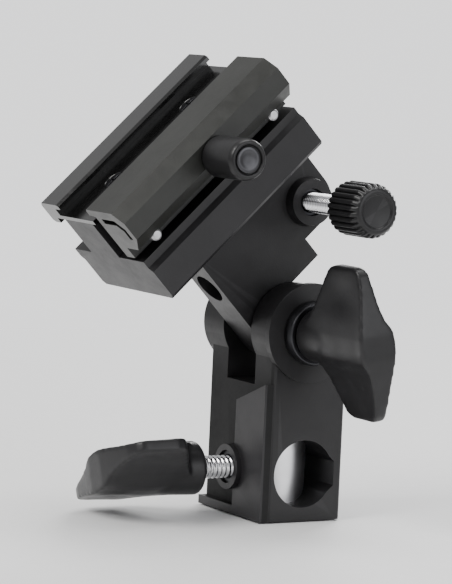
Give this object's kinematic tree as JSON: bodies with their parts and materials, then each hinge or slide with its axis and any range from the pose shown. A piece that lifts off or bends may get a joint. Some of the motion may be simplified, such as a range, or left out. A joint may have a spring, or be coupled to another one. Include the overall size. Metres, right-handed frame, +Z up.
{
  "type": "umbrella swivel bracket",
  "caption": "Tilting light-stand bracket with a stand socket, umbrella shaft bore with thumb screw, clamping accessory shoe and wing-handle locks.",
  "frame": {"origin": "centre of the stand socket mouth on the underside of the fork block", "axes": "+Z up along the stand socket, +X along the tilt axis towards the tilt handle, -Y towards the stand-lock handle"},
  "size_m": [0.0679, 0.0733, 0.1167],
  "materials": {
    "black_abs": "fine moulded texture",
    "handle_abs": "fine moulded texture",
    "knob_abs": "satin moulded",
    "jaw_abs": "satin moulded",
    "gloss_black": "glossy black",
    "plated_steel": "bright plated",
    "chrome": "bright plated",
    "zinc_steel": "zinc plated",
    "brass": "turned",
    "black_oxide": "black oxide",
    "fibre": "fibre sheet",
    "nylon": "natural nylon"
  },
  "bodies": {
    "base": {"base_body": "black_abs", "socket_liner": "plated_steel", "stand_lock_insert": "black_oxide", "pivot_bolt": "zinc_steel", "friction_washers": "fibre"},
    "head": {"head_body": "black_abs", "pivot_bushing": "nylon", "umbrella_lock_insert": "black_oxide", "fixed_jaw": "gloss_black", "fixed_jaw_screws": "black_oxide", "guide_pins": "chrome", "clamp_insert": "brass"},
    "tilt_lock_washer": {"tilt_washer": "black_oxide"},
    "tilt_lock_handle": {"tilt_handle": "handle_abs", "tilt_handle_nut": "brass"},
    "stand_lock_tip": {"stand_lock_pad": "brass"},
    "stand_lock_wing": {"stand_lock_screw": "chrome", "stand_lock_handle": "handle_abs"},
    "umbrella_lock_tip": {"umbrella_lock_pad": "brass"},
    "umbrella_lock_thumb_screw": {"umbrella_lock_screw": "chrome", "umbrella_lock_knob": "knob_abs"},
    "jaw": {"moving_jaw": "jaw_abs"},
    "jaw_clamp": {"jaw_clamp_screw": "chrome", "jaw_screw_clip": "zinc_steel", "jaw_clamp_knob": "knob_abs"}
  },
  "joints": [
    {"name": "head_tilt", "type": "hinge", "parent": "base", "child": "head", "pos_m": [0, 0, 0.048], "axis": [1, 0, 0], "range_deg": [-108.6, 31.4]},
    {"name": "tilt_lock_travel", "type": "slide", "parent": "base", "child": "tilt_lock_washer", "axis": [1, 0, 0], "range_m": [0, 0.0025]},
    {"name": "tilt_lock_turn", "type": "hinge", "parent": "tilt_lock_washer", "child": "tilt_lock_handle", "pos_m": [0.035, 0, 0.048], "axis": [1, 0, 0], "range_deg": [-5, 725]},
    {"name": "stand_lock_travel", "type": "slide", "parent": "base", "child": "stand_lock_tip", "axis": [0, -1, 0], "range_m": [-0.00125, 0.00375]},
    {"name": "stand_lock_turn", "type": "hinge", "parent": "stand_lock_tip", "child": "stand_lock_wing", "pos_m": [0, -0.02, 0.012], "axis": [0, -1, 0], "range_deg": [-365, 1085]},
    {"name": "umbrella_lock_travel", "type": "slide", "parent": "head", "child": "umbrella_lock_tip", "axis": [1, 0, 0], "range_m": [-0.0008, 0.0032]},
    {"name": "umbrella_lock_turn", "type": "hinge", "parent": "umbrella_lock_tip", "child": "umbrella_lock_thumb_screw", "pos_m": [0.02, 0.00334, 0.08045], "axis": [1, 0, 0], "range_deg": [-365, 1445]},
    {"name": "jaw_slide", "type": "slide", "parent": "head", "child": "jaw", "axis": [1, 0, 0], "range_m": [-0.0028, 0.0028]},
    {"name": "jaw_clamp_turn", "type": "hinge", "parent": "jaw", "child": "jaw_clamp", "pos_m": [0.02, -0.03329, 0.09253], "axis": [1, 0, 0], "range_deg": [-1445, 1445]}
  ],
  "couplings": [
    {"joint": "tilt_lock_turn", "follows": "tilt_lock_travel", "rad_per_m": 5026.5},
    {"joint": "stand_lock_turn", "follows": "stand_lock_travel", "rad_per_m": 5026.5},
    {"joint": "umbrella_lock_turn", "follows": "umbrella_lock_travel", "rad_per_m": 7854},
    {"joint": "jaw_clamp_turn", "follows": "jaw_slide", "rad_per_m": 8976}
  ]
}
